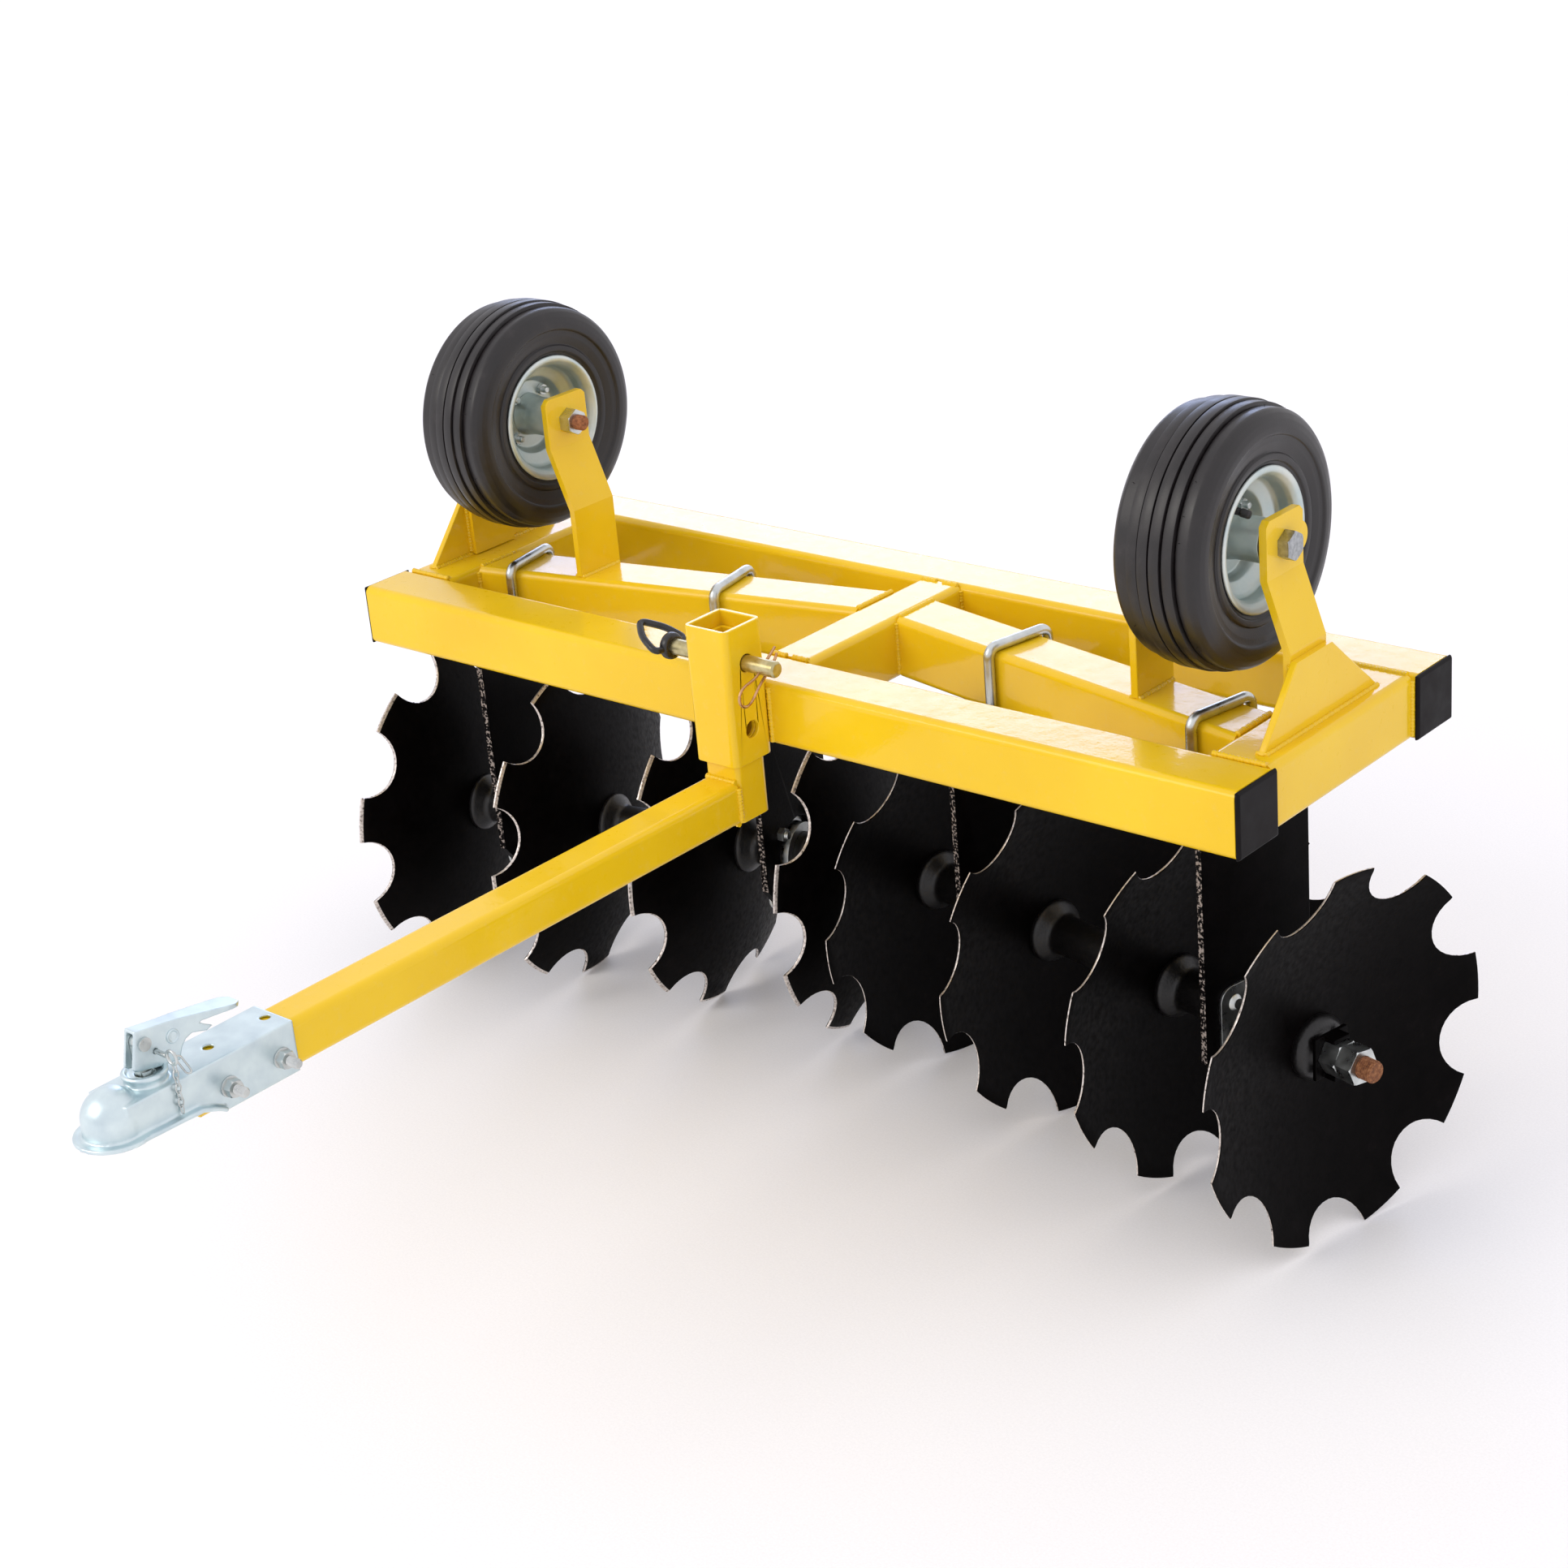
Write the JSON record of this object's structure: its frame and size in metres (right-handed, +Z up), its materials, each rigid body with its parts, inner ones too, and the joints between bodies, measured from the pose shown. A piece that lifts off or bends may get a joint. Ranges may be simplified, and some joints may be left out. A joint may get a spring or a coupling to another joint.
{
  "type": "tow-behind disc harrow",
  "caption": "Tow-behind disc harrow: welded tube frame with two slanted gangs of notched discs, flip-over transport wheels and a drawbar ending in a ball coupler.",
  "frame": {"origin": "on the ground under the middle of the machine", "axes": "+Z up, +X towards the right end of the frame seen from behind, -Y towards the towing vehicle along the drawbar"},
  "size_m": [1.4714, 1.433, 0.9066],
  "materials": {
    "yellow_paint": "gloss yellow enamel on welded steel tube and plate",
    "black_paint": "satin black paint, worn bright on the edges",
    "black_cast_iron": "as-cast, painted black",
    "zinc_steel": "bright zinc plated",
    "hub_steel": "turned steel with dark bearing seals",
    "raw_steel": "bare bar with light rust",
    "tyre_rubber": "matt black ribbed rubber",
    "black_plastic": "moulded black plug",
    "black_vinyl": "soft vinyl-coated wire"
  },
  "bodies": {
    "frame": {"front_beam": "yellow_paint", "rear_beam": "yellow_paint", "side_tube_left": "yellow_paint", "side_tube_right": "yellow_paint", "centre_tube": "yellow_paint", "gang_tube_left": "yellow_paint", "gang_tube_right": "yellow_paint", "receiver_tube": "yellow_paint", "end_caps": "black_plastic", "wheel_gusset_left": "yellow_paint", "wheel_gusset_right": "yellow_paint", "wheel_arm_outer_left": "yellow_paint", "wheel_arm_outer_right": "yellow_paint", "wheel_arm_inner_left": "yellow_paint", "wheel_arm_inner_right": "yellow_paint", "wheel_axle_bolts": "zinc_steel", "wheel_axle_nuts": "zinc_steel", "hanger_left_outer": "black_paint", "hanger_left_inner": "black_paint", "hanger_right_inner": "black_paint", "hanger_right_outer": "black_paint", "hanger_u_bolts": "zinc_steel", "hanger_u_bolt_nuts": "zinc_steel", "hanger_bearings": "zinc_steel", "bearing_fasteners": "zinc_steel", "drawbar_post": "yellow_paint", "drawbar_arm": "yellow_paint", "coupler_body": "zinc_steel", "coupler_fasteners": "zinc_steel"},
    "wheel_left": {"tyre_left": "tyre_rubber", "rim_halves_left": "zinc_steel", "wheel_hub_left": "hub_steel"},
    "wheel_right": {"tyre_right": "tyre_rubber", "rim_halves_right": "zinc_steel", "wheel_hub_right": "hub_steel"},
    "gang_left": {"gang_axle_left": "raw_steel", "disc_left_1": "black_paint", "disc_left_2": "black_paint", "disc_left_3": "black_paint", "disc_left_4": "black_paint", "gang_spools_left": "black_cast_iron", "gang_end_washer_left": "black_cast_iron", "gang_lock_plate_left": "black_paint", "gang_nuts_left": "zinc_steel"},
    "gang_right": {"gang_axle_right": "raw_steel", "disc_right_1": "black_paint", "disc_right_2": "black_paint", "disc_right_3": "black_paint", "disc_right_4": "black_paint", "gang_spools_right": "black_cast_iron", "gang_end_washer_right": "black_cast_iron", "gang_lock_plate_right": "black_paint", "gang_nuts_right": "zinc_steel"},
    "hitch_pin": {"hitch_pin": "zinc_steel", "hitch_pin_handle": "black_vinyl", "hairpin_clip": "zinc_steel"},
    "ball_clamp": {"ball_clamp": "zinc_steel"},
    "coupler_lever": {"coupler_lever": "zinc_steel", "coupler_lever_pin": "zinc_steel"},
    "safety_pin": {"safety_pin": "zinc_steel"}
  },
  "joints": [
    {"name": "wheel_left_spin", "type": "hinge", "parent": "frame", "child": "wheel_left", "pos_m": [-0.519, 0.43852, 0.7626], "axis": [1, 0, 0], "continuous": true},
    {"name": "wheel_right_spin", "type": "hinge", "parent": "frame", "child": "wheel_right", "pos_m": [0.519, 0.43852, 0.7626], "axis": [1, 0, 0], "continuous": true},
    {"name": "gang_left_spin", "type": "hinge", "parent": "frame", "child": "gang_left", "pos_m": [0, 0.52202, 0.215], "axis": [0.9803, 0.1977, 0], "continuous": true},
    {"name": "gang_right_spin", "type": "hinge", "parent": "frame", "child": "gang_right", "pos_m": [0, 0.52202, 0.215], "axis": [0.9803, -0.1977, 0], "continuous": true},
    {"name": "hitch_pin_turn", "type": "hinge", "parent": "frame", "child": "hitch_pin", "pos_m": [0, 0.21277, 0.605], "axis": [1, 0, 0], "range_deg": [-100, 40]},
    {"name": "clamp_drop", "type": "slide", "parent": "frame", "child": "ball_clamp", "axis": [0, 0, -1], "range_m": [0, 0.005]},
    {"name": "lever_lift", "type": "hinge", "parent": "ball_clamp", "child": "coupler_lever", "pos_m": [0, -0.63248, 0.51], "axis": [1, 0, 0], "range_deg": [0, 75]},
    {"name": "safety_pin_slide", "type": "slide", "parent": "coupler_lever", "child": "safety_pin", "axis": [1, 0, 0], "range_m": [0, 0.045]}
  ],
  "couplings": [
    {"joint": "clamp_drop", "follows": "lever_lift", "m_per_rad": 0.0038197}
  ]
}
